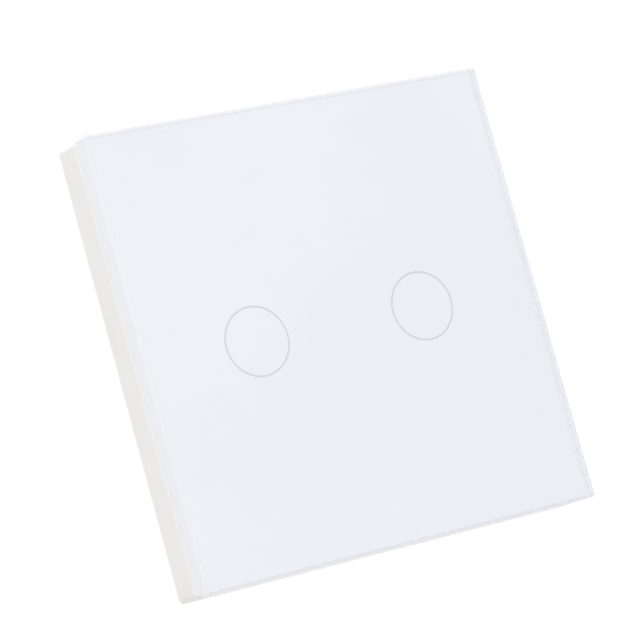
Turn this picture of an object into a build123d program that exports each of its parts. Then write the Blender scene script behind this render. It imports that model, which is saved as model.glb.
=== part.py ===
from build123d import *
import os
from math import cos, pi, radians, sin, sqrt

# Two-gang touch light switch. A glass panel on a plastic frame snaps over a steel strap, with
# the touch electronics in front of the wall and the relays and terminals in the wall box.
# Millimetres. +X is right, +Z is up and +Y goes into the wall. The origin lies on the wall's
# surface, in the middle of the panel. A level is a distance in front of the wall, towards -Y,
# and a depth is a distance behind it, towards +Y.

# Clearances
seat_gap = 0.1
running_gap = 0.05
overrun = 1.0

# Panel
panel_width = 80.0
panel_height = 80.0
glass_thickness = 3.7
glass_corner = 0.6
glass_arris = 0.5
glass_back_arris = 0.1
print_thickness = 0.1
print_margin = 0.2
tape_thickness = 0.2
tape_width = 7.0
ring_radius = 6.1
ring_line = 0.3
ring_spacing = 33.9

# Plastic frame behind the glass
frame_corner = 1.0
frame_wall = 2.0
frame_flange = 1.6
frame_window_corner = 4.0
frame_edge = 0.35

# Strap that carries everything on the wall box
strap_room = 2.5
strap_corner = 4.0
strap_thickness = 1.2
slot_length = 8.0
slot_width = 3.8
slot_edge = 1.5
strap_width = panel_width - 2 * (frame_wall + strap_room)
strap_height = panel_height - 2 * (frame_wall + strap_room)
slot_spacing_across = strap_width - slot_length - 2 * slot_edge
slot_spacing_up = strap_height - slot_length - 2 * slot_edge

# Touch springs, which the touch board and its cover are sized for
spring_wire = 0.45
spring_base_radius = 5.6
spring_top_radius = 4.7
spring_turns = 2.5
spring_leg = 1.2
spring_room = 3.8

# Touch board and its cover
board_margin = 0.45
board_room = 0.6
touch_board_thickness = 1.0
touch_board_back = 2.2
cover_wall = 1.4
cover_room = 3.5
touch_board_size = ring_spacing + 2 * (spring_base_radius + board_margin)
cover_size = touch_board_size + 2 * (cover_wall + board_room)
frame_window = cover_size + 2 * cover_room

# Power board
power_board_thickness = 1.6
power_board_depth = 6.0

# Relays, the tallest pieces on the power board
bobbin_size = 8.2
relay_length = 20.0
relay_wall = 0.7
relay_side_gap = 0.2
relay_spacing = 2.6
yoke_top = 11.5
switch_room = 3.2
relay_width = bobbin_size + 2 * (relay_wall + relay_side_gap)
relay_height = yoke_top + switch_room + relay_wall
relay_x = (relay_width + relay_spacing) / 2
relay_outside = relay_x + relay_width / 2

# Transformer, the longest piece above the relays
coil_depth = 8.4
transformer_gap = 1.6

# Terminals, with their depths counted from the power board
pole_count = 4
pole_pitch = 6.35
cage_width = 5.1
cage_length = 5.0
cage_height = 5.6
cage_base = 0.8
cage_nut = 1.4
cage_side = 0.7
cage_corner = 0.5
cage_foot = 0.8
cage_travel = 1.4
screw_neck = 0.7
screw_head_height = 1.5
screw_sink = 0.2
terminal_end_wall = 0.25
terminal_front_wall = 3.3
terminal_rear_wall = 0.9
chamber_front_gap = 0.4
chamber_rear_gap = 1.3
cage_rest = power_board_depth + cage_foot
chamber_top = cage_rest + cage_height + cage_travel + 2 * seat_gap
screw_seat = chamber_top + screw_neck
terminal_top = screw_seat + screw_head_height + screw_sink
chamber_length = chamber_front_gap + cage_length + chamber_rear_gap
terminal_length = terminal_front_wall + chamber_length + terminal_rear_wall
terminal_width = pole_count * pole_pitch + 2 * terminal_end_wall

# Housing in the wall box, sized for what it holds
housing_wall = 1.5
corner_bulge = 4.0
side_bay = 11.2
relay_headroom = 3.1
face_inset = 0.4
step_gap = 1.2
relay_foot_room = 1.0
transformer_headroom = 1.5
boss_radius = 2.5
boss_gap = 1.85
housing_width = 2 * (relay_outside + side_bay + housing_wall)
housing_height = (
    face_inset
    + terminal_length
    + step_gap
    + housing_wall
    + relay_foot_room
    + relay_length
    + transformer_gap
    + coil_depth
    + transformer_headroom
    + housing_wall
)
housing_corner_reach = max(housing_width, housing_height) / 2 + corner_bulge
housing_depth = power_board_depth + relay_height + relay_headroom + housing_wall
terminal_zone_depth = terminal_top + seat_gap + housing_wall
screw_spacing = terminal_width + 2 * (boss_gap + boss_radius)

# Places up the housing, from its lower side
terminal_face = face_inset - housing_height / 2
chamber_front = terminal_face + terminal_front_wall
chamber_rear = chamber_front + chamber_length
terminal_back = chamber_rear + terminal_rear_wall
terminal_screw_z = chamber_front + chamber_front_gap + cage_length / 2
terminal_zone_top = terminal_back + step_gap
relay_z = terminal_zone_top + housing_wall + relay_foot_room + relay_length / 2
transformer_z = relay_z + relay_length / 2 + transformer_gap + coil_depth / 2

# Levels and depths that the pieces share
touch_board_front = touch_board_back + touch_board_thickness
print_back = touch_board_front + spring_room
glass_back = print_back + print_thickness
frame_front = print_back - tape_thickness
flange_back = frame_front - frame_flange
power_board_front = power_board_depth - power_board_thickness
pole_places = [(i - (pole_count - 1) / 2) * pole_pitch for i in range(pole_count)]
sides = {"left": -1, "right": 1}


def at_level(level):
    """The upright plane at a level in front of the wall. It faces the user, with X right and Z up."""
    return Plane.XZ.offset(level)


def at_depth(depth):
    """The upright plane at a depth behind the wall's surface, facing the user too."""
    return Plane.XZ.offset(-depth)


def keep(piece, name):
    """Labels a finished piece and writes it."""
    piece.part.label = name
    export_step(piece.part, f"parts/{name}.step")


def module_outline(inset):
    """The housing's plan: a square whose corners follow the round wall box."""
    with BuildSketch() as outline:
        Rectangle(housing_width - 2 * inset, housing_height - 2 * inset)
        Circle(housing_corner_reach - inset, mode=Mode.INTERSECT)
    return outline.sketch


# Glass plate with ground corners and a fine arris all round
with BuildPart() as glass_plate:
    with BuildSketch(at_level(glass_back)):
        RectangleRounded(panel_width, panel_height, glass_corner)
    extrude(amount=glass_thickness)
    chamfer(glass_plate.faces().sort_by(Axis.Y)[0].edges(), glass_arris)
    chamfer(glass_plate.faces().sort_by(Axis.Y)[-1].edges(), glass_back_arris)
keep(glass_plate, "glass_plate")

# White enamel printed on the back of the glass, open where the two rings are
with BuildPart() as back_print:
    with BuildSketch(at_level(print_back)):
        RectangleRounded(panel_width - 2 * print_margin, panel_height - 2 * print_margin, glass_corner)
        with GridLocations(ring_spacing, 0, 2, 1):
            Circle(ring_radius + ring_line / 2, mode=Mode.SUBTRACT)
            Circle(ring_radius - ring_line / 2)
    extrude(amount=print_thickness)
keep(back_print, "back_print")

# The two thin rings that mark the touch keys, in a smoky ink that lets the lamps through
with BuildPart() as ring_marks:
    with BuildSketch(at_level(print_back)):
        with GridLocations(ring_spacing, 0, 2, 1):
            Circle(ring_radius + ring_line / 2)
            Circle(ring_radius - ring_line / 2, mode=Mode.SUBTRACT)
    extrude(amount=print_thickness)
keep(ring_marks, "ring_marks")

# Double-sided tape that bonds the printed glass to the frame
tape_margin = 1.2
with BuildPart() as bonding_tape:
    with BuildSketch(at_level(frame_front)):
        tape_outer_width = panel_width - 2 * tape_margin
        tape_outer_height = panel_height - 2 * tape_margin
        Rectangle(tape_outer_width, tape_outer_height)
        Rectangle(
            tape_outer_width - 2 * tape_width,
            tape_outer_height - 2 * tape_width,
            mode=Mode.SUBTRACT,
        )
    extrude(amount=tape_thickness)
keep(bonding_tape, "bonding_tape")

# Lugs bent up from the strap, which the frame's hooks snap over
lug_width = 8.0
lug_rise = 3.0
lug_place = 20.0
lug_relief = 1.0
lug_bend = 1.5

# Moulded frame: rim, flange for the glass, stiffening ribs, hooks and a notch to prise it off
rim_width = panel_width - 2 * frame_wall
rim_height = panel_height - 2 * frame_wall
rib_reach = 2.0
rib_thickness = 1.0
rib_end = 0.8
side_rib_places = [8.0, 26.0]
top_rib_places = [8.0, 32.0]
hook_width = 6.0
hook_thickness = 1.2
hook_end = 0.5
hook_gap = 0.35
hook_nose = 0.3
hook_nose_length = 1.2
notch_width = 10.0
notch_depth = 1.2
with BuildPart() as panel_frame:
    with BuildSketch(at_level(0)):
        RectangleRounded(panel_width, panel_height, frame_corner)
    extrude(amount=frame_front)
    chamfer(panel_frame.faces().sort_by(Axis.Y)[0].edges(), frame_edge)
    fillet(panel_frame.faces().sort_by(Axis.Y)[-1].edges(), frame_edge)
    with BuildSketch(at_level(0)):
        Rectangle(rim_width, rim_height)
    extrude(amount=flange_back, mode=Mode.SUBTRACT)
    with BuildSketch(at_level(flange_back)):
        RectangleRounded(frame_window, frame_window, frame_window_corner)
    extrude(amount=frame_flange, mode=Mode.SUBTRACT)
    with BuildSketch(at_level(rib_end)):
        for place in side_rib_places:
            with GridLocations(rim_width - rib_reach, 2 * place, 2, 2):
                Rectangle(rib_reach, rib_thickness)
        for place in top_rib_places:
            with GridLocations(2 * place, rim_height - rib_reach, 2, 2):
                Rectangle(rib_thickness, rib_reach)
    extrude(amount=flange_back - rib_end)
    hook_foot = strap_height / 2 + hook_gap
    for x in (-lug_place, lug_place):
        for up in (-1, 1):
            with BuildSketch(Plane.YZ.offset(x)):
                with BuildLine():
                    Polyline(
                        (-flange_back, up * hook_foot),
                        (-flange_back, up * (hook_foot + hook_thickness)),
                        (-hook_end, up * (hook_foot + hook_thickness)),
                        (-hook_end, up * hook_foot),
                        (-hook_end - hook_nose_length / 2, up * (hook_foot - hook_nose)),
                        (-hook_end - hook_nose_length, up * hook_foot),
                        close=True,
                    )
                make_face()
            extrude(amount=hook_width / 2, both=True)
    with BuildSketch(at_level(0)):
        with Locations((0, -(panel_height - frame_wall) / 2)):
            Rectangle(notch_width, frame_wall + overrun)
    extrude(amount=notch_depth, mode=Mode.SUBTRACT)
keep(panel_frame, "panel_frame")

# Galvanised strap with slots for the box screws, corner holes and four bent lugs
strap_window_seat = 1.5
strap_window_long = housing_width - 2 * (housing_wall + strap_window_seat)
strap_window_short = 26.0
strap_window_corner = 2.0
corner_hole_radius = 1.7
corner_hole_edge = 6.5
strap_screw_radius = 1.0
strap_screw_head = 1.9
strap_screw_length = 8.0
with BuildPart(at_level(strap_thickness)) as mounting_strap:
    with BuildSketch(at_level(strap_thickness)):
        RectangleRounded(strap_width, strap_height, strap_corner)
        with GridLocations(2 * lug_place, strap_height - lug_bend, 2, 2):
            Rectangle(lug_width + 2 * lug_relief, lug_bend, mode=Mode.SUBTRACT)
        with GridLocations(2 * lug_place, strap_height - lug_bend, 2, 2):
            Rectangle(lug_width, lug_bend)
        with GridLocations(slot_spacing_across, 0, 2, 1):
            SlotOverall(slot_length, slot_width, mode=Mode.SUBTRACT)
        with GridLocations(0, slot_spacing_up, 1, 2):
            SlotOverall(slot_length, slot_width, rotation=90, mode=Mode.SUBTRACT)
        with GridLocations(strap_width - 2 * corner_hole_edge, strap_height - 2 * corner_hole_edge, 2, 2):
            Circle(corner_hole_radius, mode=Mode.SUBTRACT)
    extrude(amount=-strap_thickness)
    with BuildSketch(at_level(strap_thickness)) as strap_window:
        Rectangle(strap_window_long, strap_window_short)
        Rectangle(strap_window_short, strap_window_long)
        fillet(strap_window.vertices(), strap_window_corner)
    extrude(amount=-strap_thickness, mode=Mode.SUBTRACT)
    with BuildSketch(at_level(strap_thickness)):
        with GridLocations(2 * lug_place, strap_height - strap_thickness, 2, 2):
            Rectangle(lug_width, strap_thickness)
    extrude(amount=lug_rise)
    lug_edges = mounting_strap.edges().filter_by(Axis.X).filter_by(
        lambda e: abs(abs(e.center().X) - lug_place) < lug_relief
        and abs(abs(e.center().Z) - strap_height / 2) < seat_gap
        and abs(e.center().Y) < seat_gap
    )
    fillet(lug_edges, strap_thickness - seat_gap)
    with GridLocations(screw_spacing, screw_spacing, 2, 2):
        CounterSinkHole(
            strap_screw_radius + seat_gap,
            strap_screw_head + seat_gap,
            depth=strap_thickness,
            counter_sink_angle=90,
        )
keep(mounting_strap, "mounting_strap")

# Countersunk screws that hold the housing to the strap
with BuildPart(at_level(strap_thickness)) as strap_screws:
    head_height = strap_screw_head - strap_screw_radius
    with GridLocations(screw_spacing, screw_spacing, 2, 2):
        Cylinder(
            strap_screw_radius,
            strap_screw_length,
            align=(Align.CENTER, Align.CENTER, Align.MAX),
        )
        Cone(
            strap_screw_radius,
            strap_screw_head,
            head_height,
            align=(Align.CENTER, Align.CENTER, Align.MAX),
        )
    screw_recess_width = 0.5
    screw_recess_length = 2.2
    screw_recess_depth = 0.5
    with BuildSketch(at_level(strap_thickness)):
        with GridLocations(screw_spacing, screw_spacing, 2, 2):
            Rectangle(screw_recess_length, screw_recess_width)
            Rectangle(screw_recess_width, screw_recess_length)
    extrude(amount=-screw_recess_depth, mode=Mode.SUBTRACT)
keep(strap_screws, "strap_screws")

# Cover over the touch board, with a hole for each touch spring and legs that clip through the strap
cover_corner = 5.0
cover_glass_gap = 0.4
cover_edge = 0.8
cover_front = print_back - cover_glass_gap
cover_inside = cover_front - cover_wall
spring_hole_gap = 0.975
spring_hole_radius = spring_base_radius + spring_wire / 2 + spring_hole_gap
collar_wall = 0.9
collar_length = 1.0
post_radius = 1.6
post_inset = 4.0
post_spacing = touch_board_size - 2 * post_inset
leg_width = 8.0
leg_thickness = 1.2
leg_depth = 3.0
leg_barb = 0.9
leg_barb_length = 1.6
leg_outside = strap_window_long / 2 - seat_gap
with BuildPart() as front_cover:
    with BuildSketch(at_level(strap_thickness)):
        RectangleRounded(cover_size, cover_size, cover_corner)
    extrude(amount=cover_front - strap_thickness)
    fillet(front_cover.faces().sort_by(Axis.Y)[0].edges(), cover_edge)
    with BuildSketch(at_level(strap_thickness)):
        inner_size = cover_size - 2 * cover_wall
        RectangleRounded(inner_size, inner_size, cover_corner - cover_wall)
    extrude(amount=cover_inside - strap_thickness, mode=Mode.SUBTRACT)
    with BuildSketch(at_level(cover_inside - collar_length)):
        with GridLocations(ring_spacing, 0, 2, 1):
            Circle(spring_hole_radius + collar_wall)
    extrude(amount=collar_length)
    with BuildSketch(at_level(touch_board_front)):
        with GridLocations(post_spacing, post_spacing, 2, 2):
            Circle(post_radius)
    extrude(amount=cover_inside - touch_board_front)
    with BuildSketch(at_level(touch_board_front)):
        with GridLocations(ring_spacing, 0, 2, 1):
            Circle(spring_hole_radius)
    extrude(amount=cover_front - touch_board_front, mode=Mode.SUBTRACT)
    with BuildSketch(Plane.YZ):
        with BuildLine():
            Polyline(
                (-cover_inside, leg_outside - leg_thickness),
                (-cover_inside, leg_outside),
                (seat_gap, leg_outside),
                (seat_gap, leg_outside + leg_barb),
                (seat_gap + leg_barb_length, leg_outside),
                (leg_depth, leg_outside),
                (leg_depth, leg_outside - leg_thickness),
                close=True,
            )
        make_face()
        mirror(about=Plane.XZ)
    extrude(amount=leg_width / 2, both=True)
keep(front_cover, "front_cover")

# Touch board, cut away where the cover's legs pass
board_corner = 4.0
with BuildPart() as touch_board:
    with BuildSketch(at_level(touch_board_back)):
        RectangleRounded(touch_board_size, touch_board_size, board_corner)
        leg_room = touch_board_size / 2 - leg_outside + leg_thickness + seat_gap
        with GridLocations(0, touch_board_size - leg_room, 1, 2):
            Rectangle(leg_width + 2 * seat_gap, leg_room, mode=Mode.SUBTRACT)
    extrude(amount=touch_board_thickness)
keep(touch_board, "touch_board")

# Touch controller chip between the two keys
chip_length = 9.9
chip_width = 3.9
chip_height = 1.5
chip_bevel = 0.3
touch_chip_z = -8.0
with BuildPart() as touch_chip:
    with BuildSketch(at_level(touch_board_front)):
        with Locations((0, touch_chip_z)):
            Rectangle(chip_length, chip_width)
    extrude(amount=chip_height)
    chamfer(touch_chip.faces().sort_by(Axis.Y)[0].edges(), chip_bevel)
keep(touch_chip, "touch_chip")

# Lamp and light guide in the middle of each key
lamp_length = 2.0
lamp_width = 1.25
lamp_height = 0.8
guide_foot_radius = 3.2
guide_foot_height = 0.8
guide_radius = 2.0
guide_pocket_radius = 1.5
guide_pocket_height = 1.0
guide_top_gap = 0.3
guide_height = print_back - guide_top_gap - touch_board_front
for side, sign in sides.items():
    key_x = sign * ring_spacing / 2
    with BuildPart() as indicator_lamp:
        with BuildSketch(at_level(touch_board_front)):
            with Locations((key_x, 0)):
                Rectangle(lamp_length, lamp_width)
        extrude(amount=lamp_height)
    keep(indicator_lamp, f"indicator_lamp_{side}")
    with BuildPart() as light_guide:
        with BuildSketch(at_level(touch_board_front)):
            with Locations((key_x, 0)):
                Circle(guide_foot_radius)
        extrude(amount=guide_foot_height)
        with BuildSketch(at_level(touch_board_front)):
            with Locations((key_x, 0)):
                Circle(guide_radius)
        extrude(amount=guide_height)
        with BuildSketch(at_level(touch_board_front)):
            with Locations((key_x, 0)):
                Circle(guide_pocket_radius)
        extrude(amount=guide_pocket_height, mode=Mode.SUBTRACT)
    keep(light_guide, f"light_guide_{side}")

# Touch spring: a conical coil from the touch board to the back of the glass
steps_per_turn = 4


def biarc(start, start_way, end, end_way):
    """Two arcs that join end to end, and leave and arrive along the given directions."""
    span = end - start
    ways = start_way + end_way
    a = 4 - ways.dot(ways)
    b = 2 * span.dot(ways)
    c = -span.dot(span)
    reach = (sqrt(b * b - 4 * a * c) - b) / (2 * a)
    first = start + start_way * reach
    second = end - end_way * reach
    middle = (first + second) * 0.5
    TangentArc(start, middle, tangent=start_way)
    TangentArc(middle, end, tangent=(second - first).normalized())


def spring_point(turn, key_x, low, high):
    """A point of the coil's centre line and the line's direction there, after some turns."""
    share = turn / spring_turns
    radius = spring_base_radius + (spring_top_radius - spring_base_radius) * share
    angle = 2 * pi * turn
    shrink = (spring_top_radius - spring_base_radius) / (2 * pi * spring_turns)
    rise = (high - low) / (2 * pi * spring_turns)
    point = Vector(key_x + radius * cos(angle), -(low + (high - low) * share), radius * sin(angle))
    way = Vector(
        shrink * cos(angle) - radius * sin(angle),
        -rise,
        shrink * sin(angle) + radius * cos(angle),
    )
    return point, way.normalized()


def least_coil_gap(low, high):
    """The least gap between one turn of the coil and the next, measured on points of its line."""
    samples = int(spring_turns * steps_per_turn * steps_per_turn)
    line = [spring_point(spring_turns * i / samples, 0, low, high)[0] for i in range(samples + 1)]
    apart = int(samples / spring_turns / 2)
    gaps = [(line[j] - line[i]).length for i in range(samples) for j in range(i + apart, samples + 1)]
    return min(gaps) - spring_wire


spring_low = touch_board_front + spring_leg
spring_high = print_back - spring_wire / 2 - running_gap
for side, sign in sides.items():
    key_x = sign * ring_spacing / 2
    coil_start, coil_way = spring_point(0, key_x, spring_low, spring_high)
    foot = Vector(coil_start.X, -touch_board_front, coil_start.Z - 2 * spring_wire)
    foot_top = foot - Vector(0, spring_wire, 0)
    with BuildPart() as touch_spring:
        with BuildLine() as spring_line:
            Line(foot, foot_top)
            biarc(foot_top, Vector(0, -1, 0), coil_start, coil_way)
            for step in range(int(spring_turns * steps_per_turn)):
                here = spring_point(step / steps_per_turn, key_x, spring_low, spring_high)
                there = spring_point((step + 1) / steps_per_turn, key_x, spring_low, spring_high)
                biarc(*here, *there)
        with BuildSketch(Plane(origin=foot, z_dir=(0, -1, 0))):
            Circle(spring_wire / 2)
        sweep()
    keep(touch_spring, f"touch_spring_{side}")
print(f"least gap between spring turns {least_coil_gap(spring_low, spring_high):.2f} mm")

# Pin header and socket that join the two boards through the strap
pin_count = 6
pin_pitch = 2.54
pin_size = 0.64
pin_length = 3.4
header_width = 2.5
header_inset = 5.5
header_z = strap_window_long / 2 - header_inset
socket_height = 4.2
socket_mouth = power_board_front - socket_height
with BuildPart() as header_base:
    with BuildSketch(at_depth(socket_mouth)):
        with Locations((0, header_z)):
            Rectangle(pin_count * pin_pitch, header_width)
    extrude(amount=touch_board_back + socket_mouth)
keep(header_base, "header_base")
with BuildPart() as header_pins:
    with BuildSketch(at_depth(socket_mouth + pin_length)):
        with Locations((0, header_z)):
            with GridLocations(pin_pitch, 0, pin_count, 1):
                Rectangle(pin_size, pin_size)
    extrude(amount=pin_length)
keep(header_pins, "header_pins")
with BuildPart() as header_socket:
    with BuildSketch(at_depth(power_board_front)):
        with Locations((0, header_z)):
            Rectangle(pin_count * pin_pitch, header_width)
    extrude(amount=socket_height)
    with BuildSketch(at_depth(socket_mouth + pin_length + seat_gap)):
        with Locations((0, header_z)):
            with GridLocations(pin_pitch, 0, pin_count, 1):
                Rectangle(pin_size + 2 * seat_gap, pin_size + 2 * seat_gap)
    extrude(amount=pin_length + seat_gap, mode=Mode.SUBTRACT)
keep(header_socket, "header_socket")

# Terminal block: its openings and the bars in it
chamber_side_gap = 0.1
screw_neck_gap = 0.25
screw_head_radius = 2.1
screw_radius = 1.45
screw_slot_width = 0.7
screw_slot_depth = 0.8
wire_bore_radius = 2.1
wire_bore_bevel = 0.4
bar_width = 3.0
bar_thickness = 0.6
bar_front_gap = 0.3
bar_top = cage_rest + cage_height - cage_nut - seat_gap
bar_front = chamber_front + bar_front_gap
bar_rear = chamber_rear - seat_gap
chamber_width = cage_width + 2 * chamber_side_gap
screw_neck_radius = screw_radius + screw_neck_gap
wire_depth = (cage_rest + cage_base + bar_top - bar_thickness) / 2

# Housing: a stepped tub, lower over the terminals, with bosses, ledges for the board and vents
ledge_reach = 1.2
ledge_width = 3.0
ledge_place = 8.0
housing_edge = 0.9
vent_count = 6
vent_pitch = 3.6
vent_width = 1.4
vent_length = 13.0
vent_z = 6.0
access_radius = 2.5
barrier_width = 0.8
barrier_height = 1.2
barrier_length = 9.5
deep_floor = housing_depth - housing_wall
shallow_floor = terminal_zone_depth - housing_wall
with BuildPart() as rear_housing:
    with BuildSketch(at_depth(housing_depth)):
        add(module_outline(0))
    extrude(amount=housing_depth)
    with BuildSketch(at_depth(housing_depth)):
        with Locations((0, terminal_zone_top)):
            Rectangle(housing_width, housing_height, align=(Align.CENTER, Align.MAX))
    extrude(amount=housing_depth - terminal_zone_depth, mode=Mode.SUBTRACT)
    fillet(rear_housing.faces().sort_by(Axis.Y)[-1].edges(), housing_edge)
    with BuildSketch(at_depth(shallow_floor)):
        add(module_outline(housing_wall))
    extrude(amount=shallow_floor, mode=Mode.SUBTRACT)
    with BuildSketch(at_depth(deep_floor)):
        add(module_outline(housing_wall))
        with Locations((0, terminal_zone_top + housing_wall)):
            Rectangle(
                housing_width,
                housing_height,
                align=(Align.CENTER, Align.MAX),
                mode=Mode.SUBTRACT,
            )
    extrude(amount=deep_floor - shallow_floor, mode=Mode.SUBTRACT)
    for boss_z, floor in ((-screw_spacing / 2, shallow_floor), (screw_spacing / 2, deep_floor)):
        with BuildSketch(at_depth(floor)):
            with Locations((-screw_spacing / 2, boss_z), (screw_spacing / 2, boss_z)):
                Circle(boss_radius)
        extrude(amount=floor)
    with BuildSketch(at_depth(strap_screw_length)):
        with GridLocations(screw_spacing, screw_spacing, 2, 2):
            Circle(strap_screw_radius + running_gap)
    extrude(amount=strap_screw_length, mode=Mode.SUBTRACT)
    with BuildSketch(at_depth(deep_floor)):
        ledge_span = housing_width - 2 * housing_wall - ledge_reach
        with GridLocations(ledge_span, 2 * ledge_place, 2, 2):
            Rectangle(ledge_reach, ledge_width)
    extrude(amount=deep_floor - power_board_depth)
    with BuildSketch(at_depth(housing_depth)):
        with Locations((0, vent_z)):
            with GridLocations(vent_pitch, 0, vent_count, 1):
                SlotOverall(vent_length, vent_width, rotation=90)
    extrude(amount=housing_wall, mode=Mode.SUBTRACT)
    with BuildSketch(at_depth(terminal_zone_depth)):
        with Locations(*[(x, terminal_screw_z) for x in pole_places]):
            Circle(access_radius)
    extrude(amount=housing_wall, mode=Mode.SUBTRACT)
    with BuildSketch(at_depth(terminal_top + seat_gap)):
        with Locations((0, -housing_height / 2)):
            Rectangle(
                terminal_width + 2 * seat_gap,
                housing_wall,
                align=(Align.CENTER, Align.MIN),
            )
    extrude(amount=terminal_top + seat_gap - power_board_front, mode=Mode.SUBTRACT)
    with BuildSketch(at_depth(terminal_zone_depth + barrier_height)):
        with Locations((0, terminal_screw_z)):
            with GridLocations(pole_pitch, 0, pole_count + 1, 1):
                Rectangle(barrier_width, barrier_length)
    extrude(amount=barrier_height)
keep(rear_housing, "rear_housing")

# Power board, notched round the four bosses
board_gap = 0.3
with BuildPart() as power_board:
    with BuildSketch(at_depth(power_board_depth)):
        add(module_outline(housing_wall + board_gap))
        with GridLocations(screw_spacing, screw_spacing, 2, 2):
            Circle(boss_radius + board_gap, mode=Mode.SUBTRACT)
    extrude(amount=power_board_thickness)
keep(power_board, "power_board")

with BuildPart() as terminal_body:
    with BuildSketch(at_depth(terminal_top)):
        with Locations((0, terminal_face)):
            Rectangle(
                terminal_width,
                terminal_back - terminal_face,
                align=(Align.CENTER, Align.MIN),
            )
    extrude(amount=terminal_top - power_board_depth)
    with BuildSketch(at_depth(chamber_top)):
        with Locations(*[(x, chamber_front) for x in pole_places]):
            Rectangle(
                chamber_width,
                chamber_rear - chamber_front,
                align=(Align.CENTER, Align.MIN),
            )
    extrude(amount=chamber_top - power_board_depth, mode=Mode.SUBTRACT)
    with BuildSketch(at_depth(terminal_top)):
        with Locations(*[(x, terminal_screw_z) for x in pole_places]):
            Circle(screw_neck_radius)
    extrude(amount=terminal_top - chamber_top, mode=Mode.SUBTRACT)
    with BuildSketch(at_depth(terminal_top)):
        with Locations(*[(x, terminal_screw_z) for x in pole_places]):
            Circle(screw_head_radius + seat_gap)
    extrude(amount=terminal_top - screw_seat, mode=Mode.SUBTRACT)
    with BuildSketch(Plane.XY.offset(terminal_face)):
        with Locations(*[(x, wire_depth) for x in pole_places]):
            Circle(wire_bore_radius)
    extrude(amount=chamber_front - terminal_face, mode=Mode.SUBTRACT)
    bore_mouths = terminal_body.faces().sort_by(Axis.Z)[0].edges().filter_by(GeomType.CIRCLE)
    chamfer(bore_mouths, wire_bore_bevel)
keep(terminal_body, "terminal_body")

for number, x in enumerate(pole_places, start=1):
    # Captive screw, which turns but stays where it is
    with BuildPart() as terminal_screw:
        with BuildSketch(at_depth(screw_seat + screw_head_height)):
            with Locations((x, terminal_screw_z)):
                Circle(screw_head_radius)
        extrude(amount=screw_head_height)
        with BuildSketch(at_depth(screw_seat)):
            with Locations((x, terminal_screw_z)):
                Circle(screw_radius)
        extrude(amount=screw_seat - bar_top - seat_gap)
        with BuildSketch(at_depth(screw_seat + screw_head_height)):
            with Locations((x, terminal_screw_z)):
                Rectangle(2 * screw_head_radius + overrun, screw_slot_width)
        extrude(amount=screw_slot_depth, mode=Mode.SUBTRACT)
    keep(terminal_screw, f"terminal_screw_{number}")

    # Clamp cage: the nut that climbs the screw and draws the wire up to the bar
    with BuildPart() as clamp_cage:
        with BuildSketch(Plane.XY.offset(terminal_screw_z)):
            with Locations((x, cage_rest + cage_height / 2)):
                RectangleRounded(cage_width, cage_height, cage_corner)
            with Locations((x, cage_rest + cage_base)):
                Rectangle(
                    cage_width - 2 * cage_side,
                    cage_height - cage_base - cage_nut,
                    align=(Align.CENTER, Align.MIN),
                    mode=Mode.SUBTRACT,
                )
        extrude(amount=cage_length / 2, both=True)
        with BuildSketch(at_depth(cage_rest + cage_height)):
            with Locations((x, terminal_screw_z)):
                Circle(screw_radius + running_gap)
        extrude(amount=cage_nut, mode=Mode.SUBTRACT)
    keep(clamp_cage, f"clamp_cage_{number}")

    # Contact bar: runs through the cage and down to the board
    with BuildPart() as contact_bar:
        with BuildSketch(Plane.YZ.offset(x)):
            with BuildLine():
                Polyline(
                    (bar_top, bar_front),
                    (bar_top, bar_rear),
                    (power_board_depth, bar_rear),
                    (power_board_depth, bar_rear - bar_thickness),
                    (bar_top - bar_thickness, bar_rear - bar_thickness),
                    (bar_top - bar_thickness, bar_front),
                    close=True,
                )
            make_face()
        extrude(amount=bar_width / 2, both=True)
    keep(contact_bar, f"contact_bar_{number}")

# Relay, one for each lamp circuit: heights count from the board, lengths from the relay's middle
relay_edge = 0.5
relay_base_height = 1.4
iron_thickness = 1.2
iron_side_gap = 0.6
yoke_gap = 0.7
core_radius = 1.4
core_gap = 0.4
foot_reach = 3.7
pole_radius = 3.0
pole_thickness = 0.7
bobbin_flange = 0.7
bobbin_tube_radius = 2.3
winding_inset = 0.3
armature_thickness = 1.0
armature_reach = 3.9
armature_side_gap = 0.2
armature_angle = 3.5
armature_gap = 0.04
blade_thickness = 0.25
blade_width = 3.4
blade_start = 2.0
contact_radius = 1.1
contact_height = 0.6
contact_end_room = 3.0
fixed_arm_thickness = 0.4
fixed_arm_width = 3.4
fixed_arm_reach = 1.7
fixed_leg_inset = 0.9
iron_width = bobbin_size - 2 * iron_side_gap
armature_width = iron_width - 2 * armature_side_gap
yoke_outside = relay_wall + yoke_gap - relay_length / 2
core_place = yoke_outside + iron_thickness + core_gap + bobbin_size / 2
yoke_foot_end = core_place + foot_reach
winding_radius = bobbin_size / 2 - winding_inset
armature_length = core_place - yoke_outside + armature_reach
contact_reach = relay_length / 2 - relay_wall - contact_end_room - yoke_outside
blade_end = contact_reach + contact_radius
fixed_arm_start = yoke_outside + contact_reach - fixed_arm_reach
fixed_leg_place = relay_length / 2 - relay_wall - fixed_leg_inset
coil_low = relay_base_height + iron_thickness
coil_high = yoke_top - pole_thickness


def relay_plane(x, height):
    """The plane at a height of the relay above its board, centred on the relay."""
    return Plane(origin=(x, power_board_depth + height, relay_z), x_dir=(1, 0, 0), z_dir=(0, -1, 0))


def relay_profile_plane(x):
    """The relay's middle plane: its first axis runs along the relay, its second away from the board."""
    return Plane(origin=(x, power_board_depth, relay_z), x_dir=(0, 0, 1), z_dir=(-1, 0, 0))


def armature_plane(x):
    """The relay's middle plane, moved to the armature's hinge and tilted by its open angle."""
    hinge = (x, power_board_depth + yoke_top, relay_z + yoke_outside)
    open_angle = radians(armature_angle)
    return Plane(origin=hinge, x_dir=(0, sin(open_angle), cos(open_angle)), z_dir=(-1, 0, 0))


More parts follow.
